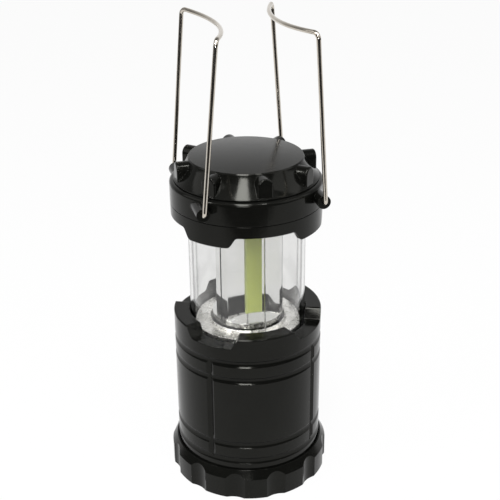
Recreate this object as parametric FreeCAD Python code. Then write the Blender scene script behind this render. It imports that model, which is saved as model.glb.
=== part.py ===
import FreeCAD, Part
import os
from math import acos, asin, cos, degrees, pi, radians, sin, sqrt, tan

# Pull-up camping lantern, in millimetres. The origin is on the standing surface, on the
# lantern's axis, with +Z up. The front faces -Y, and the lantern is pulled open.

# Gaps between pieces
slip_gap = 0.3
fit_gap = 0.05
seat_gap = 0.2

# Cells
cell_count = 3
cell_diameter = 14.2
cell_length = 50.5
cell_spacing = 0.25
nub_diameter = 5.5
nub_height = 1.5
cell_edge = 0.6

# Mirrored column and its light strips
column_wall = 1.2
flat_room = 0.33
corner_room = 2.15
column_top_plate = 1.5
column_flange = 1.2
platform_height = 7.8
seam_width = 0.5
seam_depth = 0.4
board_width = 9.2
board_thickness = 1.0
board_rise = 3.6
board_top_gap = 2.5
phosphor_width = 7.2
phosphor_height = 0.5
phosphor_margin = 1.0

# Clear tube and the silver floor in it
lamp_gap = 9.5
tube_wall = 2.2
tube_lip = 2.2
tube_lip_reach = 2.3
tube_flange_reach = 1.4
tube_seam_width = 0.8
tube_seam_depth = 0.3
tube_seam_turn = 2.0
floor_thickness = 2.2
floor_dish = 0.5
floor_lip_width = 1.0
floor_lip_height = 1.6
floor_hole_gap = 0.8

# Base
rim_clearance = 0.5
rim_width = 8.3
rim_top = 95.3
rim_round = 0.8
collar_thickness = 3.0
body_wall = 2.0
tooth_count = 4
notch_depth = 5.8
notch_floor_angle = 34.6
notch_mouth_angle = 45.8
notch_fillet = 2.6
tooth_round = 1.6
ledge_round = 1.2
groove_width = 4.0
groove_depth = 0.7
groove_brow = 1.2
groove_pitch = 9.8
groove_drop = 8.6
groove_rise = 5.3
channel_width = 4.2
channel_depth = 1.1
seal_height = 1.0
seal_depth = 1.0

# Bottom cap
foot_flare = 3.7
foot_width = 6.0
foot_recess = 0.6
foot_edge = 0.6
cap_floor = 2.4
cap_top = 16.7
cap_shoulder = 12.3
cap_lip = 0.8
flute_count = 12
flute_width = 10.6
flute_depth = 1.6
flute_turn = 5.0
bayonet_count = 3
bayonet_height = 2.0
bayonet_depth = 1.4
bayonet_angle = 12.0
bayonet_bottom = 10.0
unlock_angle = 25.0
oring_thickness = 1.6
oring_height = 6.0

# Battery frame and contacts
frame_deck = 16.5
frame_thickness = 2.0
frame_hole = 12.0
rib_width = 9.0
rib_root = 7.0
rib_foot_gap = 1.0
contact_thickness = 0.5
contact_diameter = 9.0
contact_disc_width = 34.0
spring_height = 2.0
spring_wire = 0.8
spring_base = 10.0
spring_tip = 6.0
rail_thickness = 0.6
rail_angle = 12.0
wiper_angle = 16.0
wiper_height = 4.0
wiper_gap = 0.1

# Head
travel = 55.0
skirt_inset = 0.4
skirt_wall = 2.0
skirt_height = 5.8
tooth_tip_gap = 0.8
tooth_root_gap = 0.4
tooth_side_angle = 0.8
tooth_tip_round = 4.0
tooth_root_fillet = 2.4
deck_rise = 1.8
deck_thickness = 2.0
deck_hole = 8.0
tube_spigot_width = 1.6
tube_spigot_height = 2.5
ring_inset = 0.3
ring_wall = 2.2
ring_height = 12.2
ring_round = 1.9
ring_flange_thickness = 2.2
ring_flange_width = 3.8
seam_bevel = 0.45
lip_width = 1.3
lip_height = 2.0
driver_diameter = 34.0
driver_thickness = 1.6
driver_lift = 3.0
post_diameter = 4.0
post_pin_diameter = 2.0
post_circle = 26.0

# Domed cover
cover_inset = 0.2
cover_rim = 0.8
reveal_height = 0.5
reveal_depth = 0.5
cover_wall = 2.2
flank_width = 8.0
flank_hollow = 0.9
dome_height = 11.3
crown_height = 1.5
disc_edge = 0.5
lug_count = 8
lug_width = 8.0
lug_height = 10.7
lug_inset = 0.7
lug_round = 0.9

# Wire bails
wire_diameter = 2.2
pivot_inset = 9.0
pivot_rise = 7.2
knuckle_diameter = 6.8
knuckle_length = 9.3
knuckle_hole_depth = 7.5
leg_gap = 1.1
leg_splay = 0.8
bail_height = 83.4
left_lean = 5.0
right_lean = 3.9
foot_bend = 2.2
grip_bend = 3.0
grip_lead = 3.75
grip_angle = 24.8

# Screws
screw_diameter = 2.2
screw_pilot_gap = 0.05
screw_hole_gap = 0.25
screw_head_diameter = 4.2
screw_head_height = 1.5
screw_bite = 8.0
boss_overlap = 0.25
boss_relief = 0.15
screw_tip_gap = 1.0

# Radii, from the cells outwards
cell_radius = cell_diameter / 2
cell_circle = (cell_diameter + cell_spacing) / 2 / sin(pi / cell_count)
column_inner_flat = cell_circle * cos(pi / cell_count) + cell_radius + flat_room
column_inner_radius = cell_circle + cell_radius + corner_room
column_flat = column_inner_flat + column_wall
column_radius = column_inner_radius + column_wall
tube_inner = column_radius + lamp_gap
tube_outer = tube_inner + tube_wall
rim_inner = tube_outer + rim_clearance
body_radius = rim_inner + rim_width
body_inner = body_radius - body_wall
cap_inner = body_radius + slip_gap
foot_radius = body_radius + foot_flare
skirt_radius = body_radius - skirt_inset
skirt_inner = skirt_radius - skirt_wall
ring_radius = body_radius - ring_inset
ring_inner = ring_radius - ring_wall
cover_radius = ring_radius - ring_round - cover_inset
disc_radius = cover_radius - flank_width

# Heights of the base, from the standing surface up
disc_top = cap_floor + contact_thickness
cell_bottom = disc_top + spring_height + seat_gap / 2
cell_top = cell_bottom + cell_length
plate_bottom = cell_top + contact_thickness
plate_top = plate_bottom + frame_thickness
ledge = rim_top - notch_depth
collar_bottom = ledge - collar_thickness
seal_bottom = collar_bottom + (collar_thickness - ledge_round - seal_height) / 2
frame_top = frame_deck + frame_thickness

# Heights of the head when the lantern is pulled open
flange_top = collar_bottom - seat_gap
tube_bottom = flange_top - tube_lip
column_bottom = flange_top
floor_bottom = column_bottom + column_flange
floor_top = floor_bottom + floor_thickness
platform = column_bottom + platform_height
skirt_tip = ledge + travel + tooth_tip_gap
skirt_root = rim_top + travel + tooth_root_gap
skirt_top = skirt_root + skirt_height
deck_bottom = skirt_root + deck_rise
deck_top = deck_bottom + deck_thickness
ring_top = skirt_top + ring_height
reveal_top = ring_top + reveal_height
flank_foot = ring_top + cover_rim
disc_edge_height = ring_top + dome_height
wiper_top = platform + column_wall

# Screws, pivots and angles
screw_radius = screw_diameter / 2
screw_length = screw_bite + deck_thickness
pilot_radius = screw_radius + screw_pilot_gap
screw_hole_radius = screw_radius + screw_hole_gap
screw_head_radius = screw_head_diameter / 2
boss_radius = screw_head_radius + slip_gap + boss_overlap
frame_screw_circle = body_inner + boss_overlap - boss_radius
column_screw_circle = column_inner_radius - 2 * boss_radius
cover_boss_circle = ring_inner - boss_radius - slip_gap - boss_relief
wire_radius = wire_diameter / 2
pivot_x = ring_radius - pivot_inset
pivot_z = skirt_top + pivot_rise
knuckle_end = sqrt(ring_radius ** 2 - pivot_x ** 2) + knuckle_length
foot_y = knuckle_end + leg_gap + wire_radius
grip_y = foot_y + leg_splay
quarter = 360 / tooth_count
corner_angle = 180 / cell_count
spare = 5.0

UP = FreeCAD.Vector(0, 0, 1)
ORIGIN = FreeCAD.Vector(0, 0, 0)


# Helpers


def vec(x, y, z):
    return FreeCAD.Vector(x, y, z)


def polar(radius, angle, z):
    """Point at an angle from the front (-Y), counted towards +X."""
    return vec(radius * sin(radians(angle)), -radius * cos(radians(angle)), z)


def turned(shape, angle):
    copy = shape.copy()
    copy.rotate(ORIGIN, UP, angle)
    return copy


def around(shape, count, start=0.0):
    return [turned(shape, start + index * 360 / count) for index in range(count)]


def cylinder(radius, bottom, top, center=(0, 0)):
    return Part.makeCylinder(radius, top - bottom, vec(center[0], center[1], bottom))


def cylinder_at(radius, bottom, top, circle, angle):
    return Part.makeCylinder(radius, top - bottom, polar(circle, angle, bottom))


def ring(inner, outer, bottom, top):
    return cylinder(outer, bottom, top).cut(cylinder(inner, bottom - spare, top + spare))


def joined(first, others):
    return first.fuse(others).removeSplitter()


def outline(points):
    """Closed wire. A point is a vector, or a pair (point on the arc, end of the arc)."""
    ends = [point[1] if isinstance(point, tuple) else point for point in points]
    edges = []
    for index, point in enumerate(points):
        start = ends[index - 1]
        if isinstance(point, tuple):
            edges.append(Part.Arc(start, point[0], point[1]).toShape())
        else:
            edges.append(Part.LineSegment(start, point).toShape())
    return Part.Wire(edges)


def revolved(points, angle=360.0, start=0.0):
    """Turn a closed (radius, z) profile about the axis, from an angle off the front."""

    def place(pair):
        return vec(0, -pair[0], pair[1])

    wire = outline([tuple(place(p) for p in point) if isinstance(point[0], tuple) else place(point)
                    for point in points])
    return turned(Part.Face(wire).revolve(ORIGIN, UP, angle), start)


def sector(inner, outer, bottom, top, middle, width):
    points = [(inner, bottom), (outer, bottom), (outer, top), (inner, top)]
    return revolved(points, width, middle - width / 2)


def rounded_corner(before, corner, after, radius):
    """Start, middle and end of the arc that rounds a corner."""
    to_before = (before - corner).normalize()
    to_after = (after - corner).normalize()
    half = acos(max(-1.0, min(1.0, to_before.dot(to_after)))) / 2
    setback = radius / tan(half)
    bisector = (to_before + to_after).normalize()
    middle = corner + bisector * (radius / sin(half) - radius)
    return corner + to_before * setback, middle, corner + to_after * setback


def radial_gap(floor_half, mouth_half, floor_z, mouth_z, fillet, edge_round):
    """Cutter for the gap between two teeth, centred on the front, with sides along radii."""
    outward = spare if mouth_z > floor_z else -spare
    floor_t = body_radius * tan(radians(floor_half))
    mouth_t = body_radius * tan(radians(mouth_half))
    brink_t = mouth_t + spare
    corners = [vec(-brink_t, 0, mouth_z), vec(-mouth_t, 0, mouth_z), vec(-floor_t, 0, floor_z),
               vec(floor_t, 0, floor_z), vec(mouth_t, 0, mouth_z), vec(brink_t, 0, mouth_z)]
    radii = [edge_round, fillet, fillet, edge_round]
    points = [corners[0]]
    for index, radius in enumerate(radii):
        start, middle, end = rounded_corner(*corners[index:index + 3], radius)
        points += [start, (middle, end)]
    points += [corners[5], vec(brink_t, 0, mouth_z + outward), vec(-brink_t, 0, mouth_z + outward)]

    def at_radius(radius):
        def place(point):
            return vec(point.x * radius / body_radius, -radius, point.z)

        return outline([tuple(place(p) for p in point) if isinstance(point, tuple) else place(point)
                        for point in points])

    return Part.makeLoft([at_radius(rim_inner / 2), at_radius(foot_radius + spare)], True, True)


def screw(circle, angle, seat, direction):
    """Pan-head screw whose head sits on a face at height seat, with its shank along direction."""
    shank = screw_length if direction > 0 else -screw_length
    head = -screw_head_height if direction > 0 else screw_head_height
    low, high = sorted((seat, seat + shank))
    head_low, head_high = sorted((seat, seat + head))
    body = cylinder_at(screw_radius, low, high, circle, angle)
    pan = cylinder_at(screw_head_radius, head_low, head_high, circle, angle)
    return joined(body, [pan])


def save(name, solids):
    shape = solids[0] if len(solids) == 1 else Part.makeCompound(solids)
    shape.exportStep(os.path.join("parts", name + ".step"))


# Base


def base_shell():
    collar_round = rim_top - rim_round
    body = revolved([
        (body_inner, cap_floor + slip_gap), (body_radius, cap_floor + slip_gap),
        (body_radius, collar_round),
        ((body_radius - rim_round * (1 - cos(pi / 4)), collar_round + rim_round * sin(pi / 4)),
         (body_radius - rim_round, rim_top)),
        (rim_inner + rim_round, rim_top),
        ((rim_inner + rim_round * (1 - cos(pi / 4)), collar_round + rim_round * sin(pi / 4)),
         (rim_inner, collar_round)),
        (rim_inner, collar_bottom), (body_inner, collar_bottom)])
    notch = radial_gap(notch_floor_angle / 2, notch_mouth_angle / 2, ledge, rim_top,
                       notch_fillet, tooth_round)
    ledge_arc = ((rim_inner + ledge_round * (1 - cos(pi / 4)), ledge - ledge_round * (1 - sin(pi / 4))),
                 (rim_inner + ledge_round, ledge))
    ledge_edge = revolved([(rim_inner, ledge), (rim_inner, ledge - ledge_round), ledge_arc],
                          notch_floor_angle, -notch_floor_angle / 2)
    cutters = around(notch, tooth_count, quarter / 2) + around(ledge_edge, tooth_count, quarter / 2)
    cutters += [groove(height) for height in groove_heights()]
    cutters += around(channel(), tooth_count, quarter / 2)
    cutters += neck_cutters()
    cutters.append(ring(rim_inner - spare, rim_inner + seal_depth, seal_bottom - fit_gap,
                        seal_bottom + seal_height + fit_gap))
    body = body.cut(cutters)
    boss = cylinder_at(boss_radius, frame_top, frame_top + screw_bite + screw_tip_gap,
                       frame_screw_circle, corner_angle)
    pilot = cylinder_at(pilot_radius, frame_top, frame_top + screw_bite + fit_gap,
                        frame_screw_circle, corner_angle)
    return joined(body, around(boss, cell_count)).cut(around(pilot, cell_count))


def groove_heights():
    upper = ledge - groove_drop
    lower = cap_top + groove_rise
    return [upper, upper - groove_pitch, lower + groove_pitch, lower]


def groove(height):
    """Shallow groove about the body: steep under its upper edge, then a long hollow to its lower edge."""
    floor = body_radius - groove_depth
    outside = body_radius + spare
    low, high = height - groove_width / 2, height + groove_width / 2
    deepest = high - groove_brow
    run = deepest - low
    hollow_radius = (run ** 2 + groove_depth ** 2) / (2 * groove_depth)
    half = asin(run / hollow_radius) / 2
    hollow = (floor + hollow_radius * (1 - cos(half)), deepest - hollow_radius * sin(half))
    return revolved([(outside, low), (outside, high), (body_radius, high), (floor, deepest),
                     (hollow, (body_radius, low))])


def channel():
    """Shallow upright channel at the front, between the outer two grooves."""
    heights = groove_heights()
    half = channel_width / 2
    depth = body_radius - channel_depth
    edge_y = -sqrt(body_radius ** 2 - half ** 2)
    bottom = heights[-1]
    wire = outline([vec(-half, edge_y, bottom), vec(0, -depth, bottom), vec(half, edge_y, bottom),
                    vec(half, -body_radius - spare, bottom), vec(-half, -body_radius - spare, bottom)])
    return Part.Face(wire).extrude(vec(0, 0, heights[0] - bottom))


def neck_cutters():
    """Groove of the seal, and the bent slots that the bottom cap's bayonet tabs run in."""
    slot_inner = cap_inner - bayonet_depth - slip_gap
    slot_bottom = bayonet_bottom - slip_gap
    slot_top = bayonet_bottom + bayonet_height + slip_gap
    width = bayonet_angle + 2 * degrees(slip_gap / body_radius)
    run = sector(slot_inner, cap_inner, slot_bottom, slot_top, -unlock_angle / 2, width + unlock_angle)
    entry = sector(slot_inner, cap_inner, 0, slot_top, -unlock_angle, width)
    seal = ring(body_radius - oring_thickness + slip_gap - fit_gap, body_radius + spare,
                oring_height - oring_thickness / 2 - fit_gap, oring_height + oring_thickness / 2 + fit_gap)
    return around(run, bayonet_count) + around(entry, bayonet_count) + [seal]


def rim_seal():
    """Ring in the collar whose rounded inner side wipes the tube."""
    back = rim_inner + seal_depth - fit_gap
    high = seal_bottom + seal_height
    bulge = (tube_outer + fit_gap, (seal_bottom + high) / 2)
    return revolved([(back, seal_bottom), (back, high), (rim_inner, high), (bulge, (rim_inner, seal_bottom))])


def base_oring():
    middle = cap_inner - fit_gap - oring_thickness / 2
    half = oring_thickness / 2
    return revolved([((middle + half, oring_height), (middle, oring_height + half)),
                     ((middle - half, oring_height), (middle, oring_height - half))])


# Battery frame, cells and contacts


def cell_angles():
    return [corner_angle + index * 360 / cell_count for index in range(cell_count)]


def column_outline(radius, flat, z):
    """Circle with one flat per cell side, the first flat facing the front."""
    reach = degrees(acos(flat / radius))
    points = []
    for index in range(cell_count):
        middle = index * 360 / cell_count
        points.append(polar(radius, middle + reach, z))
        points.append((polar(radius, middle + corner_angle, z),
                       polar(radius, middle + 2 * corner_angle - reach, z)))
    return outline(points)


def prism(wire, height):
    return Part.Face(wire).extrude(vec(0, 0, height))


def battery_frame():
    """Deck on the base's bosses, with a rib between each pair of cells and a plate on top."""
    plate_radius = column_inner_radius - slip_gap
    plate_flat = column_inner_flat - slip_gap / 2
    plate = prism(column_outline(plate_radius, plate_flat, plate_bottom), frame_thickness)
    notch_width = wiper_angle + degrees(2 * slip_gap / column_inner_radius)
    notches = [sector(rail_outer() - slip_gap / 2, column_radius, plate_bottom - spare, plate_top + spare,
                      angle, notch_width) for angle in rail_angles()]
    hole = cylinder_at(screw_hole_radius, frame_deck - spare, frame_top + spare,
                       frame_screw_circle, corner_angle)
    bore = cylinder_at(cell_radius + slip_gap, 0, plate_bottom, cell_circle, corner_angle)
    bores = around(bore, cell_count)
    deck = ring(frame_hole / 2, body_inner - slip_gap, frame_deck, frame_top)
    deck = deck.cut(bores + around(hole, cell_count))
    rib_bottom = cell_bottom + rib_foot_gap
    rib = Part.makeBox(rib_width, plate_flat - rib_root, plate_bottom - rib_bottom,
                       vec(-rib_width / 2, -plate_flat, rib_bottom)).cut(bores)
    return joined(deck, around(rib, cell_count) + [plate.cut(notches)])


def frame_screws():
    return around(screw(frame_screw_circle, corner_angle, frame_deck, 1), cell_count)


def aa_cell(angle, nub_up):
    body_length = cell_length - nub_height
    nub_radius = nub_diameter / 2
    profile = [(0, 0), (cell_radius - cell_edge, 0), (cell_radius, cell_edge),
               (cell_radius, body_length - cell_edge), (cell_radius - cell_edge, body_length),
               (nub_radius, body_length), (nub_radius, cell_length), (0, cell_length)]
    cell = revolved(profile)
    if not nub_up:
        cell.rotate(vec(0, 0, cell_length / 2), vec(1, 0, 0), 180)
    cell.translate(polar(cell_circle, angle, cell_bottom))
    return cell


def cell_contacts():
    contact = cylinder_at(contact_diameter / 2, cell_top, plate_bottom, cell_circle, corner_angle)
    return around(contact, cell_count)


def rail_angles():
    return [angle for angle in cell_angles() if angle < 360 - corner_angle]


def rail_outer():
    return column_inner_radius - corner_room / 2 - wiper_gap


def contact_rails():
    return [sector(rail_outer() - rail_thickness, rail_outer(), plate_top, wiper_top, angle, rail_angle)
            for angle in rail_angles()]


def contact_disc():
    return cylinder(contact_disc_width / 2, cap_floor, disc_top)


def battery_springs():
    """Tapered spring under each cell, drawn as a plain sleeve because it is never seen."""
    top = disc_top + spring_height
    base = spring_base / 2
    tip = spring_tip / 2
    spring = revolved([(base - spring_wire, disc_top), (base, disc_top),
                       (tip, top), (tip - spring_wire, top)])
    spring.translate(polar(cell_circle, corner_angle, 0))
    return around(spring, cell_count)


# Bottom cap


def bottom_cap():
    lip_radius = cap_inner + cap_lip
    recess_radius = foot_radius - foot_width
    cap = revolved([
        (0, foot_recess), (recess_radius - foot_recess, foot_recess), (recess_radius, 0),
        (foot_radius - foot_edge, 0),
        ((foot_radius - foot_edge * (1 - cos(pi / 4)), foot_edge * (1 - sin(pi / 4))),
         (foot_radius, foot_edge)),
        (foot_radius, cap_shoulder), (lip_radius, cap_top), (cap_inner, cap_top), (cap_inner, cap_floor),
        (0, cap_floor)])
    cap = cap.cut(around(flute(), flute_count, flute_turn))
    tab_inner = cap_inner - bayonet_depth
    tab = sector(tab_inner, cap_inner + slip_gap, bayonet_bottom, bayonet_bottom + bayonet_height,
                 0, bayonet_angle)
    return joined(cap, around(tab, bayonet_count))


def flute():
    """Upright round-bottomed flute, flute_width across at the foot's radius."""
    half = flute_width / 2
    edge = sqrt(foot_radius ** 2 - half ** 2)
    bow = flute_depth - (foot_radius - edge)
    radius = (half ** 2 + bow ** 2) / (2 * bow)
    return cylinder(radius, -spare, cap_top + spare, (0, -(edge - bow + radius)))


# Lamp


def lamp_tube():
    tube = revolved([
        (tube_inner - tube_lip_reach, tube_bottom), (tube_outer + tube_flange_reach, tube_bottom),
        (tube_outer + tube_flange_reach, flange_top), (tube_outer, flange_top),
        (tube_outer, deck_bottom), (tube_inner, deck_bottom), (tube_inner, flange_top),
        (tube_inner - tube_lip_reach, flange_top)])
    half = tube_seam_width / 2
    seam_floor = tube_outer - tube_seam_depth
    seam = prism(outline([vec(-half, -tube_outer, flange_top), vec(0, -seam_floor, flange_top),
                          vec(half, -tube_outer, flange_top)]), deck_bottom - flange_top)
    return tube.cut(turned(seam, tube_seam_turn))


def floor_reflector():
    outer = tube_inner - slip_gap
    hole = column_radius + floor_hole_gap
    lip_outer = hole + floor_lip_width
    dish_z = floor_top - floor_dish
    lip_z = floor_top + floor_lip_height - floor_dish
    dish_middle = (lip_outer + outer) / 2
    return revolved([
        (hole, floor_bottom), (outer, floor_bottom), (outer, floor_top),
        ((dish_middle, dish_z), (lip_outer, dish_z)), (lip_outer, lip_z - floor_lip_width / 2),
        ((hole + floor_lip_width / 2, lip_z), (hole, lip_z - floor_lip_width / 2))])


def reflector_column():
    shaft = prism(column_outline(column_radius, column_flat, column_bottom), deck_bottom - column_bottom)
    base = cylinder(column_radius, column_bottom, platform)
    flange = cylinder(tube_inner - slip_gap, column_bottom, floor_bottom)
    cavity_top = deck_bottom - column_top_plate
    cavity = prism(column_outline(column_inner_radius, column_inner_flat, column_bottom - spare),
                   cavity_top - column_bottom + spare)
    well = cylinder(column_inner_radius, column_bottom - spare, platform - column_wall)
    seam = Part.makeBox(seam_width, seam_depth + spare, deck_bottom - platform,
                        vec(-seam_width / 2, -column_radius - spare, platform))
    seams = around(seam, cell_count, corner_angle)
    column = joined(shaft, [base, flange]).cut([cavity, well] + seams)
    boss_bottom = deck_bottom - screw_length - screw_tip_gap
    boss = cylinder_at(boss_radius, boss_bottom, cavity_top, column_screw_circle, corner_angle)
    pilot = cylinder_at(pilot_radius, boss_bottom + screw_tip_gap - fit_gap, deck_bottom + spare,
                        column_screw_circle, corner_angle)
    wire_hole = cylinder(deck_hole / 2, column_bottom, deck_bottom + spare)
    return joined(column, around(boss, cell_count)).cut(around(pilot, cell_count) + [wire_hole])


def cob_board(index):
    bottom = platform + board_rise
    board = Part.makeBox(board_width, board_thickness, deck_bottom - board_top_gap - bottom,
                         vec(-board_width / 2, -column_flat - board_thickness, bottom))
    return turned(board, index * 360 / cell_count)


def cob_phosphor(index):
    """Gel strip with a crowned face along the middle of a board."""
    bottom = platform + board_rise + phosphor_margin
    top = deck_bottom - board_top_gap - phosphor_margin
    half = phosphor_width / 2
    back = -column_flat - board_thickness
    wire = outline([vec(half, back, bottom),
                    (vec(0, back - phosphor_height, bottom), vec(-half, back, bottom))])
    return turned(prism(wire, top - bottom), index * 360 / cell_count)


def wiper_contacts():
    inner = rail_outer() + wiper_gap
    return [sector(inner, column_inner_radius, wiper_top - wiper_height, wiper_top, angle, wiper_angle)
            for angle in rail_angles()]


# Head


def tooth_half_angle(height):
    """Half width of a skirt tooth at a height above the closed base's ledge."""
    spread = (notch_mouth_angle - notch_floor_angle) / 2
    return notch_floor_angle / 2 + spread * height / notch_depth - tooth_side_angle


def cap_skirt():
    lip_outer = ring_inner - slip_gap
    lip_inner = lip_outer - lip_width
    spigot_outer = tube_inner - slip_gap / 2
    skirt = revolved([
        (skirt_inner, skirt_tip), (skirt_radius, skirt_tip), (skirt_radius, skirt_top),
        (lip_outer, skirt_top), (lip_outer, skirt_top + lip_height),
        (lip_inner, skirt_top + lip_height), (lip_inner, deck_top), (deck_hole / 2, deck_top),
        (deck_hole / 2, deck_bottom), (spigot_outer - tube_spigot_width, deck_bottom),
        (spigot_outer - tube_spigot_width, deck_bottom - tube_spigot_height),
        (spigot_outer, deck_bottom - tube_spigot_height), (spigot_outer, deck_bottom),
        (skirt_inner, deck_bottom)])
    floor_half = quarter / 2 - tooth_half_angle(skirt_root - travel - ledge)
    mouth_half = quarter / 2 - tooth_half_angle(skirt_tip - travel - ledge)
    gap = radial_gap(floor_half, mouth_half, skirt_root, skirt_tip, tooth_root_fillet, tooth_tip_round)
    pocket = cylinder_at(boss_radius + slip_gap, deck_top, skirt_top + lip_height + spare,
                         cover_boss_circle, quarter / 2)
    cover_hole = cylinder_at(screw_hole_radius, deck_bottom - spare, deck_top + spare,
                             cover_boss_circle, quarter / 2)
    column_hole = cylinder_at(screw_hole_radius, deck_bottom - spare, deck_top + spare,
                              column_screw_circle, corner_angle)
    cutters = around(gap, tooth_count) + around(pocket, tooth_count) + around(cover_hole, tooth_count)
    skirt = skirt.cut(cutters + around(column_hole, cell_count))
    post = cylinder_at(post_diameter / 2, deck_top, deck_top + driver_lift, post_circle / 2, 0)
    pin = cylinder_at(post_pin_diameter / 2, deck_top, deck_top + driver_lift + 2 * driver_thickness,
                      post_circle / 2, 0)
    return joined(skirt, around(post, cell_count) + around(pin, cell_count))


def bail_ring():
    flange_inner = ring_inner - ring_flange_width
    flange_bottom = ring_top - ring_flange_thickness
    shoulder = ring_top - ring_round
    body = revolved([
        (ring_inner, skirt_top), (ring_radius - seam_bevel, skirt_top), (ring_radius, skirt_top + seam_bevel),
        (ring_radius, shoulder),
        ((ring_radius - ring_round * (1 - cos(pi / 4)), shoulder + ring_round * sin(pi / 4)),
         (ring_radius - ring_round, ring_top)),
        (flange_inner, ring_top), (flange_inner, flange_bottom), (ring_inner, flange_bottom)])
    knuckle_start = sqrt(ring_inner ** 2 - (pivot_x + knuckle_diameter / 2) ** 2)
    knuckles = []
    holes = []
    for side in (-1, 1):
        for face in (-1, 1):
            start = vec(side * pivot_x, face * knuckle_start, pivot_z)
            mouth = vec(side * pivot_x, face * (knuckle_end - knuckle_hole_depth), pivot_z)
            along = vec(0, face, 0)
            length = knuckle_end - knuckle_start
            knuckles.append(Part.makeCylinder(knuckle_diameter / 2, length, start, along))
            holes.append(Part.makeCylinder(wire_radius + fit_gap, knuckle_hole_depth + spare, mouth, along))
    core = cylinder(ring_inner, skirt_top, flange_bottom)
    pocket = cylinder_at(boss_radius + slip_gap, skirt_top, ring_top + spare, cover_boss_circle, quarter / 2)
    body = joined(body, [knuckle.cut(core) for knuckle in knuckles])
    return body.cut(holes + around(pocket, tooth_count))


def top_cover():
    """Domed shell over a narrow reveal, with lugs round its hollow flank and a boss at each screw."""
    reveal_radius = cover_radius - reveal_depth
    crown = disc_edge_height + crown_height
    flank_top = disc_edge_height - disc_edge
    chord_r = (cover_radius + disc_radius + disc_edge) / 2
    chord_z = (flank_foot + flank_top) / 2
    shell = revolved([
        (0, ring_top), (reveal_radius, ring_top), (reveal_radius, reveal_top), (cover_radius, reveal_top),
        (cover_radius, flank_foot),
        ((chord_r - flank_hollow * sin(pi / 4), chord_z - flank_hollow * sin(pi / 4)),
         (disc_radius + disc_edge, flank_top)),
        (disc_radius, disc_edge_height),
        (crown_arc_middle(disc_radius, disc_edge_height, crown), (0, crown))])
    shell = joined(shell, around(lug(), lug_count))
    inner_rim = cover_radius - cover_wall
    inner_disc = disc_radius - cover_wall
    inner_height = disc_edge_height - cover_wall
    cavity = revolved([
        (0, ring_top - spare), (inner_rim, ring_top - spare), (inner_rim, flank_foot),
        (inner_disc, inner_height),
        (crown_arc_middle(inner_disc, inner_height, crown - cover_wall), (0, crown - cover_wall))])
    boss = cylinder_at(boss_radius, deck_top, flank_foot, cover_boss_circle, quarter / 2)
    pilot = cylinder_at(pilot_radius, deck_top - spare, deck_bottom + screw_length + fit_gap,
                        cover_boss_circle, quarter / 2)
    return joined(shell.cut(cavity), around(boss, tooth_count)).cut(around(pilot, tooth_count))


def crown_arc_middle(edge_radius, edge_z, crown_z):
    """Half-way point of the shallow arc from a disc's edge to the middle of its crown."""
    rise = crown_z - edge_z
    radius = (edge_radius ** 2 + rise ** 2) / (2 * rise)
    half = asin(edge_radius / radius) / 2
    return (radius * sin(half), crown_z - radius * (1 - cos(half)))


def lug():
    """Arched grip lug on the dome's flank, at the front, with its outer edge rounded."""
    half = lug_width / 2
    reach = cover_radius - lug_inset
    root = disc_radius - cover_wall / 2
    foot = (reveal_top + flank_foot) / 2
    top = ring_top + lug_height
    spring_line = top - half
    wire = outline([vec(half, -reach, foot), vec(half, -reach, spring_line),
                    (vec(0, -reach, top), vec(-half, -reach, spring_line)), vec(-half, -reach, foot)])
    block = Part.Face(wire).extrude(vec(0, reach - root, 0))
    brow = [edge for edge in block.Edges
            if edge.BoundBox.YMax < -reach + fit_gap and edge.BoundBox.ZMax > foot + fit_gap]
    return block.makeFillet(lug_round, brow)


def driver_board():
    low = deck_top + driver_lift
    board = ring(deck_hole / 2, driver_diameter / 2, low, low + driver_thickness)
    hole = cylinder_at(post_pin_diameter / 2 + fit_gap, low - spare, low + spare, post_circle / 2, 0)
    return board.cut(around(hole, cell_count))


def column_screws():
    return around(screw(column_screw_circle, corner_angle, deck_top, -1), cell_count)


def cover_screws():
    return around(screw(cover_boss_circle, quarter / 2, deck_bottom, 1), tooth_count)


# Bails


def bail(lean):
    """Bent wire bail on the -X side, leaning inwards about its pivot."""
    pivot = vec(-pivot_x, 0, pivot_z)
    turn = radians(grip_angle)
    foot = knuckle_end - knuckle_hole_depth + slip_gap
    lead_x = grip_lead * sin(turn)
    lead_y = grip_y - grip_lead * cos(turn)
    bow = lead_y / sin(turn) * (1 - cos(turn))
    near = [vec(0, foot, 0), vec(0, foot_y, 0), vec(0, grip_y, bail_height), vec(lead_x, lead_y, bail_height)]
    far = [vec(corner.x, -corner.y, corner.z) for corner in reversed(near)]
    grip = Part.Arc(near[-1], vec(lead_x + bow, 0, bail_height), far[0]).toShape()
    near_path = rounded_path(near, [foot_bend, grip_bend])
    far_path = rounded_path(far, [grip_bend, foot_bend])
    wire = Part.Wire(near_path + [grip] + far_path)
    section = Part.Wire([Part.makeCircle(wire_radius, near[0], vec(0, 1, 0))])
    bent_wire = wire.makePipeShell([section], True, False)
    bent_wire.translate(pivot)
    bent_wire.rotate(pivot, vec(0, 1, 0), lean)
    return bent_wire


def rounded_path(corners, radii):
    """Straight runs joined by arcs that round the corners between them."""
    edges = []
    start = corners[0]
    for index, radius in enumerate(radii):
        begin, middle, end = rounded_corner(*corners[index:index + 3], radius)
        edges.append(Part.LineSegment(start, begin).toShape())
        edges.append(Part.Arc(begin, middle, end).toShape())
        start = end
    edges.append(Part.LineSegment(start, corners[-1]).toShape())
    return edges


os.makedirs("parts", exist_ok=True)

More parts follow.
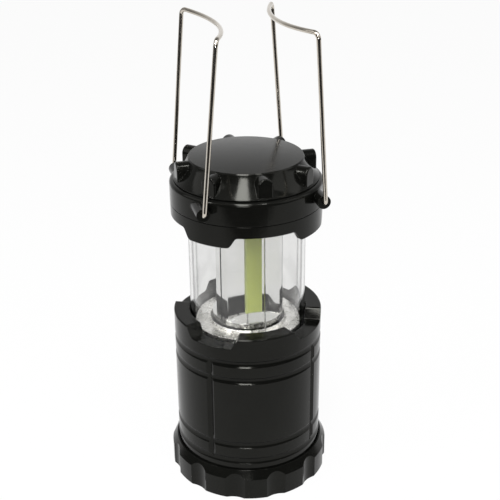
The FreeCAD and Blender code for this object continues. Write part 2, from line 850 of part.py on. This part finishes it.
save("base_shell", [base_shell()])
save("rim_seal", [rim_seal()])
save("base_oring", [base_oring()])
save("battery_frame", [battery_frame()])
save("frame_screws", frame_screws())
for number, cell_angle in enumerate(cell_angles(), start=1):
    save(f"aa_cell_{number}", [aa_cell(cell_angle, number % 2 == 1)])
save("cell_contacts", cell_contacts())
save("contact_rails", contact_rails())
save("contact_disc", [contact_disc()])
save("battery_springs", battery_springs())
save("bottom_cap", [bottom_cap()])
save("lamp_tube", [lamp_tube()])
save("floor_reflector", [floor_reflector()])
save("reflector_column", [reflector_column()])
for number in range(cell_count):
    save(f"cob_board_{number + 1}", [cob_board(number)])
    save(f"cob_phosphor_{number + 1}", [cob_phosphor(number)])
save("wiper_contacts", wiper_contacts())
save("cap_skirt", [cap_skirt()])
save("bail_ring", [bail_ring()])
save("top_cover", [top_cover()])
save("driver_board", [driver_board()])
save("column_screws", column_screws())
save("cover_screws", cover_screws())
save("bail_left", [bail(left_lean)])
save("bail_right", [turned(bail(right_lean), 180)])
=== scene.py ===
import bpy
from math import cos, pi, radians, sin
from mathutils import Matrix, Quaternion, Vector

# Looks of the pull-up camping lantern, in metres. The frame brings the solids in place, with
# +Z up and the front to -Y. This script adds materials, light, floor and camera.

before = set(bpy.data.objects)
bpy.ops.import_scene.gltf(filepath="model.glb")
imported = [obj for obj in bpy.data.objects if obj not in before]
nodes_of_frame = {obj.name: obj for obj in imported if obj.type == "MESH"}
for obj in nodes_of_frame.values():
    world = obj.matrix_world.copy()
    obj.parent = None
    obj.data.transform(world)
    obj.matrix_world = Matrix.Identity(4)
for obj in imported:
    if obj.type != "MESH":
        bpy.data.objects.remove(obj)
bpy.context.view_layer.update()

# Camera, with its angles in degrees
view_azimuth = -14.7
camera_reach = 0.4772
camera_height = 0.345
camera_pitch = 24.53
camera_yaw = 0.19
camera_roll = -0.54
lens_mm = 72.25
sensor_mm = 36.0
nearest_seen = 0.01

# Floor
floor_size = 3.0
floor_front = 0.36
floor_light = (0.80, 0.80, 0.80)
floor_dark = (0.792, 0.792, 0.792)
floor_whiteness = 0.95
floor_ray_kinds = ("Is Camera Ray", "Is Glossy Ray", "Is Transmission Ray")

# Room: its light from the camera's side, at 0, to the bright side behind the lantern, at 1
room_tones = [(0.0, 0.02), (0.5, 0.08), (0.72, 0.3), (0.9, 0.75), (1.0, 1.0)]
bright_azimuth = 180.0
bright_elevation = -8.0
room_whiteness = 0.975
room_ray_kinds = ("Is Camera Ray", "Is Transmission Ray")

# Lamps: the height that they aim at, and how far from there they stand
lamp_middle = 0.12
lamp_reach = 1.0

# All materials: the values of a noise that its effect spreads over, the share of a line's width that
# is fully dark, and the softening of sharp edges
noise_low = 0.3
noise_middle = 0.5
noise_high = 0.7
line_core = 0.7
edge_radius = 0.0003
edge_samples = 6

# Cover: how far its dull crown reaches down
crown_depth = 0.0018

# Tube: its outer radius, the depth of its upright seam, how far from half that depth the seam is painted
# dark as shade, as shares of the depth, and the wall's tints against how far it turns from the eye, with
# painted shade as dark edge lines at some turns
tube_radius = 0.03049
tube_seam_depth = 0.0003
seam_dark_core = 0.3
seam_dark_end = 0.4
wall_tint = (0.865, 0.865, 0.86)
# Tint of the painted shade in the seam and in the edge lines
painted_shade_tint = (0.12, 0.12, 0.117)
turn_tints_and_edge_shade = [(0.62, wall_tint), (0.68, painted_shade_tint), (0.73, wall_tint), (0.80, wall_tint), (0.87, painted_shade_tint)]

# Column: painted shade as dark lines at its corner seams, and a painted shadow band at its foot
column_faces = 3
column_radius = 0.0187
corner_share = 0.25
seam_width = 0.001
# Tints of the painted shade at the corner seams and the painted shadow at the foot
seam_shade_tint = (0.03, 0.03, 0.028)
foot_shade_height = 0.0078
foot_shade_tint = (0.25, 0.25, 0.24)

# Silver floor: fine dark wrinkles
wrinkle_strength = 0.5
wrinkle_core = 0.003
wrinkle_end = 0.016
wrinkle_tint = (0.28, 0.27, 0.25)

# Pieces that are shut inside: how much their gloss varies, and their grain
inner_gloss_spread = 0.06
inner_grain_share = 6
inner_grain_depth = 0.00001


def polar(azimuth, elevation, reach):
    """Point seen from the lantern's middle at an azimuth from the camera's side and a height angle."""
    turn = radians(view_azimuth + azimuth)
    level = reach * cos(radians(elevation))
    return Vector((level * sin(turn), -level * cos(turn), lamp_middle + reach * sin(radians(elevation))))


# Materials


def fill_ramp(node, stops):
    """Gives a colour ramp its stops, each a position and a colour."""
    points = node.color_ramp.elements
    points.remove(points[1])
    points[0].position, first_colour = stops[0]
    points[0].color = (*first_colour, 1.0)
    for position, colour in stops[1:]:
        points.new(position).color = (*colour, 1.0)


class Surface:
    """A principled material with short ways to add object-space noise, ramps and bump."""

    def __init__(self, name):
        self.material = bpy.data.materials.new(name)
        self.material.use_nodes = True
        self.nodes = self.material.node_tree.nodes
        self.links = self.material.node_tree.links
        self.shader = self.nodes["Principled BSDF"]
        self.output = self.nodes["Material Output"]
        self.place = self.nodes.new("ShaderNodeTexCoord").outputs["Object"]
        self.normal = None

    def set(self, **values):
        for name, value in values.items():
            self.shader.inputs[name.replace("_", " ")].default_value = value
        return self

    def drive(self, name, value):
        self.links.new(value, self.shader.inputs[name])

    def stretched(self, scale):
        mapping = self.nodes.new("ShaderNodeMapping")
        mapping.inputs["Scale"].default_value = scale
        self.links.new(self.place, mapping.inputs["Vector"])
        return mapping.outputs["Vector"]

    def height(self):
        parts = self.nodes.new("ShaderNodeSeparateXYZ")
        self.links.new(self.place, parts.inputs["Vector"])
        return parts.outputs["Z"]

    def distance_from_axis(self):
        flat = self.nodes.new("ShaderNodeVectorMath")
        flat.operation = "LENGTH"
        self.links.new(self.stretched((1.0, 1.0, 0.0)), flat.inputs[0])
        return flat.outputs["Value"]

    def noise(self, scale, detail=3.0, roughness=0.55, place=None):
        noise = self.nodes.new("ShaderNodeTexNoise")
        noise.inputs["Scale"].default_value = scale
        noise.inputs["Detail"].default_value = detail
        noise.inputs["Roughness"].default_value = roughness
        self.links.new(place or self.place, noise.inputs["Vector"])
        return noise.outputs["Fac"]

    def range(self, value, low, high, start=noise_low, end=noise_high):
        spread = self.nodes.new("ShaderNodeMapRange")
        spread.inputs["From Min"].default_value = start
        spread.inputs["From Max"].default_value = end
        spread.inputs["To Min"].default_value = low
        spread.inputs["To Max"].default_value = high
        self.links.new(value, spread.inputs["Value"])
        return spread.outputs["Result"]

    def ramp(self, value, stops):
        ramp = self.nodes.new("ShaderNodeValToRGB")
        fill_ramp(ramp, stops)
        self.links.new(value, ramp.inputs["Fac"])
        return ramp.outputs["Color"]

    def tones(self, value, dark, light, start=noise_low, end=noise_high):
        return self.ramp(value, [(start, dark), (end, light)])

    def math(self, operation, value, other=None):
        step = self.nodes.new("ShaderNodeMath")
        step.operation = operation
        self.links.new(value, step.inputs[0])
        if other is not None:
            step.inputs[1].default_value = other
        return step.outputs["Value"]

    def away_from(self, value, middle):
        return self.math("ABSOLUTE", self.math("SUBTRACT", value, middle))

    def tinted(self, share, colour, tint):
        mix = self.nodes.new("ShaderNodeMix")
        mix.data_type = "RGBA"
        self.links.new(share, mix.inputs["Factor"])
        self.links.new(colour, mix.inputs["A"])
        mix.inputs["B"].default_value = (*tint, 1.0)
        return mix.outputs["Result"]

    def blended(self, share, low, high):
        mix = self.nodes.new("ShaderNodeMix")
        self.links.new(share, mix.inputs["Factor"])
        self.links.new(low, mix.inputs["A"])
        self.links.new(high, mix.inputs["B"])
        return mix.outputs["Result"]

    def upright_lines(self, count, share, half_width, radius):
        """1 on lines set evenly round the axis at a share of the way between them, and 0 elsewhere."""
        around = self.nodes.new("ShaderNodeTexGradient")
        around.gradient_type = "RADIAL"
        self.links.new(self.place, around.inputs["Vector"])
        way = self.math("FRACT", self.math("MULTIPLY", around.outputs["Fac"], count))
        reach = count * half_width / (2 * pi * radius)
        return self.range(self.away_from(way, share), low=1.0, high=0.0, start=line_core * reach, end=reach)

    def soften_edges(self):
        bevel = self.nodes.new("ShaderNodeBevel")
        bevel.samples = edge_samples
        bevel.inputs["Radius"].default_value = edge_radius
        self.use_normal(bevel.outputs["Normal"])

    def bump(self, height, depth):
        bump = self.nodes.new("ShaderNodeBump")
        bump.inputs["Distance"].default_value = depth
        bump.inputs["Strength"].default_value = 1.0
        self.links.new(height, bump.inputs["Height"])
        if self.normal:
            self.links.new(self.normal, bump.inputs["Normal"])
        self.use_normal(bump.outputs["Normal"])

    def use_normal(self, normal):
        self.normal = normal
        self.links.new(normal, self.shader.inputs["Normal"])

    def overlay(self, share, kind):
        """Lays a shader of another kind over the principled one, by a share."""
        over = self.nodes.new(kind)
        blend = self.nodes.new("ShaderNodeMixShader")
        self.links.new(share, blend.inputs["Fac"])
        self.links.new(self.shader.outputs["BSDF"], blend.inputs[1])
        self.links.new(over.outputs[0], blend.inputs[2])
        self.links.new(blend.outputs["Shader"], self.output.inputs["Surface"])


def black_surface(name, shine):
    """Black moulding with faint clouding, softened edges and a fine spark-eroded grain."""
    surface = Surface(name).set(Specular_IOR_Level=shine, Specular_Tint=(1.0, 1.0, 0.92, 1.0))
    cloud = surface.noise(scale=45.0, detail=4.0)
    tone = surface.tones(cloud, dark=(0.0028, 0.0029, 0.0025), light=(0.0045, 0.0046, 0.0040))
    surface.drive("Base Color", tone)
    surface.soften_edges()
    surface.bump(surface.noise(scale=5200.0, detail=1.0), depth=0.000004)
    surface.bump(surface.noise(scale=220.0, detail=2.0), depth=0.000012)
    return surface


def black_plastic():
    """Glossy black moulding with a slightly uneven polish."""
    surface = black_surface("black_plastic", shine=0.16)
    surface.drive("Roughness", surface.range(surface.noise(scale=160.0), low=0.10, high=0.15))
    return surface.material


def satin_plastic():
    """The cover's moulding: glossy on its flank and dulled by a grain on its crown."""
    surface = black_surface("satin_plastic", shine=0.2)
    crown = max(corner[2] for corner in nodes_of_frame["top_cover"].bound_box) - crown_depth
    gloss = surface.range(surface.noise(scale=170.0), low=0.10, high=0.14)
    dull = surface.range(surface.noise(scale=170.0), low=0.17, high=0.22)
    on_crown = surface.range(surface.height(), low=0.0, high=1.0, start=crown, end=crown + edge_radius)
    surface.drive("Roughness", surface.blended(on_crown, gloss, dull))
    return surface.material


def clear_plastic():
    """Clear moulding with faint upright flow lines, painted shade in its seam, and dark edge lines painted
    as shade by how far the wall turns from the eye. Shadows pass through it.
    """
    surface = Surface("clear_plastic").set(Transmission_Weight=1.0, IOR=1.47, Specular_IOR_Level=0.5)
    facing = surface.nodes.new("ShaderNodeLayerWeight")
    # Painted shade: dark lines at the tube's edges, by how far the wall turns from the eye
    wall = surface.ramp(facing.outputs["Facing"], turn_tints_and_edge_shade)
    # Painted shade: the seam's groove is darkened
    depth = surface.away_from(surface.distance_from_axis(), tube_radius - tube_seam_depth / 2)
    in_seam_shade = surface.range(depth, low=1.0, high=0.0,
                            start=seam_dark_core * tube_seam_depth, end=seam_dark_end * tube_seam_depth)
    surface.drive("Base Color", surface.tinted(in_seam_shade, wall, painted_shade_tint))
    flow = surface.noise(scale=90.0, detail=2.0, place=surface.stretched((1.0, 1.0, 0.05)))
    surface.drive("Roughness", surface.range(flow, low=0.0, high=0.03))
    surface.bump(flow, depth=0.00003)
    path = surface.nodes.new("ShaderNodeLightPath")
    surface.overlay(path.outputs["Is Shadow Ray"], "ShaderNodeBsdfTransparent")
    return surface.material


def mirror_plastic():
    """Metallised column: bright, slightly wavy, with faint clouding, painted shade as dark lines at its
    corner seams and a painted shadow band at its foot.
    """
    surface = Surface("mirror_plastic").set(Metallic=1.0)
    cloud = surface.noise(scale=60.0, detail=4.0)
    tone = surface.tones(cloud, dark=(0.80, 0.80, 0.79), light=(0.88, 0.88, 0.87))
    # Painted shade: dark lines at the column's corner seams
    seams = surface.upright_lines(column_faces, corner_share, seam_width / 2, column_radius)
    # Painted shadow: a darker band at the column's foot, where it meets the floor
    foot = min(corner[2] for corner in nodes_of_frame["reflector_column"].bound_box) + foot_shade_height
    in_foot_shade = surface.range(surface.height(), low=1.0, high=0.0, start=foot - edge_radius, end=foot)
    with_seam_shade = surface.tinted(seams, tone, seam_shade_tint)
    surface.drive("Base Color", surface.tinted(in_foot_shade, with_seam_shade, foot_shade_tint))
    surface.drive("Roughness", surface.range(surface.noise(scale=120.0), low=0.05, high=0.11))
    surface.soften_edges()
    surface.bump(surface.noise(scale=55.0, detail=1.0), depth=0.00006)
    return surface.material


def floor_silver():
    """Metallised floor in the tube: mottled, finely wrinkled and less sharp than the column."""
    surface = Surface("floor_silver").set(Metallic=1.0)
    mottle = surface.noise(scale=260.0, detail=4.0)
    tone = surface.tones(mottle, dark=(0.77, 0.76, 0.73), light=(0.90, 0.89, 0.86), start=0.35, end=0.65)
    fold = surface.away_from(surface.noise(scale=70.0, detail=2.0), noise_middle)
    wrinkle = surface.range(fold, low=wrinkle_strength, high=0.0, start=wrinkle_core, end=wrinkle_end)
    surface.drive("Base Color", surface.tinted(wrinkle, tone, wrinkle_tint))
    surface.drive("Roughness", surface.range(surface.noise(scale=300.0), low=0.20, high=0.34))
    surface.soften_edges()
    surface.bump(mottle, depth=0.00003)
    return surface.material


def nickel_wire():
    """Bright plated wire with fine drawing lines and a warm tint."""
    surface = Surface("nickel_wire").set(Metallic=1.0)
    cloud = surface.noise(scale=140.0)
    tone = surface.tones(cloud, dark=(0.51, 0.46, 0.395), light=(0.61, 0.57, 0.505))
    surface.drive("Base Color", tone)
    drawn = surface.noise(scale=900.0, detail=2.0, place=surface.stretched((1.0, 1.0, 0.02)))
    surface.drive("Roughness", surface.range(drawn, low=0.11, high=0.15))
    return surface.material


def phosphor():
    """Yellow-green gel over the light strip."""
    surface = Surface("phosphor").set(Specular_IOR_Level=0.15)
    cloud = surface.noise(scale=420.0)
    tone = surface.tones(cloud, dark=(0.199, 0.226, 0.053), light=(0.231, 0.260, 0.064))
    surface.drive("Base Color", tone)
    surface.drive("Roughness", surface.range(cloud, low=0.38, high=0.52))
    surface.bump(surface.noise(scale=700.0, detail=2.0), depth=0.00004)
    return surface.material


def strip_board():
    """Light-strip board, coated in nearly the gel's colour."""
    surface = Surface("strip_board")
    cloud = surface.noise(scale=500.0)
    tone = surface.tones(cloud, dark=(0.203, 0.229, 0.068), light=(0.241, 0.271, 0.088))
    surface.drive("Base Color", tone)
    surface.drive("Roughness", surface.range(cloud, low=0.35, high=0.5))
    surface.bump(surface.noise(scale=1500.0, detail=2.0), depth=0.00001)
    return surface.material


def inner_material(name, dark, light, metallic, roughness, scale):
    """Finish of a piece that is shut inside: two close tones and an uneven gloss."""
    surface = Surface(name).set(Metallic=metallic)
    cloud = surface.noise(scale, detail=4.0)
    surface.drive("Base Color", surface.tones(cloud, dark, light))
    gloss = surface.range(cloud, low=roughness - inner_gloss_spread, high=roughness + inner_gloss_spread)
    surface.drive("Roughness", gloss)
    surface.bump(surface.noise(scale * inner_grain_share, detail=2.0), inner_grain_depth)
    return surface.material


def paint(material, *names):
    """Puts a material in every slot of the named pieces."""
    for name in names:
        node = nodes_of_frame[name]
        for index in range(len(node.data.materials)):
            node.data.materials[index] = material


def numbered(name):
    """Names of the pieces that are numbered copies of one."""
    return [other for other in nodes_of_frame if other.startswith(name + "_") and other[-1].isdigit()]


def paint_outside():
    paint(black_plastic(), "base_shell", "bottom_cap", "cap_skirt", "bail_ring")
    paint(satin_plastic(), "top_cover")
    paint(clear_plastic(), "lamp_tube")
    paint(mirror_plastic(), "reflector_column")
    paint(floor_silver(), "floor_reflector")
    paint(nickel_wire(), "bail_left", "bail_right")
    paint(phosphor(), *numbered("cob_phosphor"))
    paint(strip_board(), *numbered("cob_board"))


def paint_inside():
    rubber = inner_material("rubber", dark=(0.012, 0.012, 0.012), light=(0.02, 0.02, 0.02),
                            metallic=0.0, roughness=0.7, scale=300.0)
    paint(rubber, "rim_seal", "base_oring")
    moulding = inner_material("frame_moulding", dark=(0.03, 0.03, 0.032), light=(0.045, 0.045, 0.047),
                              metallic=0.0, roughness=0.5, scale=120.0)
    paint(moulding, "battery_frame")
    sleeve = inner_material("cell_sleeve", dark=(0.10, 0.105, 0.115), light=(0.15, 0.155, 0.165),
                            metallic=0.6, roughness=0.35, scale=150.0)
    paint(sleeve, *numbered("aa_cell"))
    strip = inner_material("contact_strip", dark=(0.62, 0.57, 0.42), light=(0.74, 0.69, 0.54),
                           metallic=1.0, roughness=0.3, scale=400.0)
    paint(strip, "cell_contacts", "contact_rails", "contact_disc", "wiper_contacts")
    steel = inner_material("screw_steel", dark=(0.50, 0.50, 0.51), light=(0.64, 0.64, 0.65),
                           metallic=1.0, roughness=0.32, scale=600.0)
    paint(steel, "battery_springs", "frame_screws", "column_screws", "cover_screws")
    board = inner_material("board_mask", dark=(0.02, 0.09, 0.035), light=(0.03, 0.12, 0.05),
                           metallic=0.0, roughness=0.4, scale=200.0)
    paint(board, "driver_board")


# Stage


def showing_rays(tree, kinds):
    """1 for the kinds of ray that show the ground as it is, and 0 for those that light the lantern."""
    path = tree.nodes.new("ShaderNodeLightPath")
    total = path.outputs[kinds[0]]
    for kind in kinds[1:]:
        either = tree.nodes.new("ShaderNodeMath")
        either.operation = "MAXIMUM"
        tree.links.new(total, either.inputs[0])
        tree.links.new(path.outputs[kind], either.inputs[1])
        total = either.outputs["Value"]
    return total


def floor():
    """Pale floor that ends a little way in front of the lantern, as a table does."""
    turn = Matrix.Rotation(radians(view_azimuth), 4, "Z")
    half = floor_size / 2
    corners = [(-half, -floor_front, 0.0), (half, -floor_front, 0.0),
               (half, floor_size, 0.0), (-half, floor_size, 0.0)]
    mesh = bpy.data.meshes.new("floor")
    mesh.from_pydata([turn @ Vector(corner) for corner in corners], [], [(0, 1, 2, 3)])
    plane = bpy.data.objects.new("floor", mesh)
    bpy.context.collection.objects.link(plane)
    surface = Surface("floor_paper").set(Specular_IOR_Level=0.1, Roughness=0.8)
    grain = surface.noise(scale=18.0, detail=4.0)
    surface.drive("Base Color", surface.tones(grain, floor_dark, floor_light))
    shown = showing_rays(surface.material.node_tree, floor_ray_kinds)
    surface.overlay(surface.math("MULTIPLY", shown, floor_whiteness), "ShaderNodeEmission")
    mesh.materials.append(surface.material)


def softbox(name, azimuth, elevation, width, height, power, roll=0.0):
    """Area lamp aimed at the lantern's middle and rolled about its own aim."""
    light = bpy.data.lights.new(name, "AREA")
    light.shape = "RECTANGLE"
    light.size = width
    light.size_y = height
    light.energy = power
    lamp = bpy.data.objects.new(name, light)
    bpy.context.collection.objects.link(lamp)
    lamp.location = polar(azimuth, elevation, lamp_reach)
    aim = Vector((0.0, 0.0, lamp_middle)) - lamp.location
    turn = aim.to_track_quat("-Z", "Y") @ Quaternion((0.0, 0.0, 1.0), radians(roll))
    lamp.rotation_euler = turn.to_euler()


def light_up():
    """A tall key lamp, a dim ceiling and walls, and small lamps for the glints on the lips and lugs."""
    softbox("key", azimuth=-7.5, elevation=55.5, width=0.23, height=0.98, power=12.0, roll=6.0)
    softbox("ceiling", azimuth=0.0, elevation=68.0, width=1.2, height=0.8, power=0.9)
    softbox("left_wall", azimuth=-80.0, elevation=35.0, width=0.9, height=0.7, power=2.0)
    softbox("right_wall", azimuth=80.0, elevation=35.0, width=0.9, height=0.7, power=2.0)
    softbox("low", azimuth=-4.5, elevation=10.0, width=0.27, height=0.13, power=2.3)
    softbox("left", azimuth=-62.0, elevation=38.0, width=0.06, height=0.2, power=1.2)
    softbox("right", azimuth=36.0, elevation=61.0, width=0.06, height=0.2, power=1.2)


def room():
    """Room that is bright behind the lantern and dark at the camera's side, on a white ground."""
    studio = bpy.data.worlds.new("studio")
    bpy.context.scene.world = studio
    studio.use_nodes = True
    tree = studio.node_tree
    tree.nodes.clear()
    place = tree.nodes.new("ShaderNodeTexCoord")
    along = tree.nodes.new("ShaderNodeVectorMath")
    along.operation = "DOT_PRODUCT"
    middle = Vector((0.0, 0.0, lamp_middle))
    along.inputs[1].default_value = polar(bright_azimuth, bright_elevation, 1.0) - middle
    tree.links.new(place.outputs["Generated"], along.inputs[0])
    spread = tree.nodes.new("ShaderNodeMapRange")
    spread.inputs["From Min"].default_value = -1.0
    tree.links.new(along.outputs["Value"], spread.inputs["Value"])
    depth = tree.nodes.new("ShaderNodeValToRGB")
    fill_ramp(depth, [(position, (tone, tone, tone)) for position, tone in room_tones])
    tree.links.new(spread.outputs["Result"], depth.inputs["Fac"])
    lit = tree.nodes.new("ShaderNodeBackground")
    tree.links.new(depth.outputs["Color"], lit.inputs["Color"])
    white = tree.nodes.new("ShaderNodeBackground")
    white.inputs["Color"].default_value = (1.0, 1.0, 1.0, 1.0)
    white.inputs["Strength"].default_value = room_whiteness
    blend = tree.nodes.new("ShaderNodeMixShader")
    out = tree.nodes.new("ShaderNodeOutputWorld")
    tree.links.new(showing_rays(tree, room_ray_kinds), blend.inputs["Fac"])
    tree.links.new(lit.outputs["Background"], blend.inputs[1])
    tree.links.new(white.outputs["Background"], blend.inputs[2])
    tree.links.new(blend.outputs["Shader"], out.inputs["Surface"])


def camera():
    """Camera in front of the lantern and above it, turned by small angles to frame it as the photo does."""
    turn = Matrix.Rotation(radians(view_azimuth), 3, "Z")
    pitch = radians(camera_pitch)
    yaw = radians(camera_yaw)
    forward = Vector((sin(yaw) * cos(pitch), cos(yaw) * cos(pitch), -sin(pitch)))
    right = Vector((cos(yaw), -sin(yaw), 0.0))
    up = right.cross(forward)
    roll = Matrix.Rotation(radians(camera_roll), 3, -forward)
    axes = [turn @ axis for axis in (roll @ right, roll @ up, -forward)]
    data = bpy.data.cameras.new("camera")
    data.lens = lens_mm
    data.sensor_width = sensor_mm
    data.clip_start = nearest_seen
    eye = bpy.data.objects.new("camera", data)
    bpy.context.collection.objects.link(eye)
    place = turn @ Vector((0.0, -camera_reach, camera_height))
    eye.matrix_world = Matrix.Translation(place) @ Matrix(axes).transposed().to_4x4()
    bpy.context.scene.camera = eye


paint_outside()
paint_inside()
floor()
light_up()
room()
camera()
bpy.context.scene.view_settings.view_transform = "Standard"
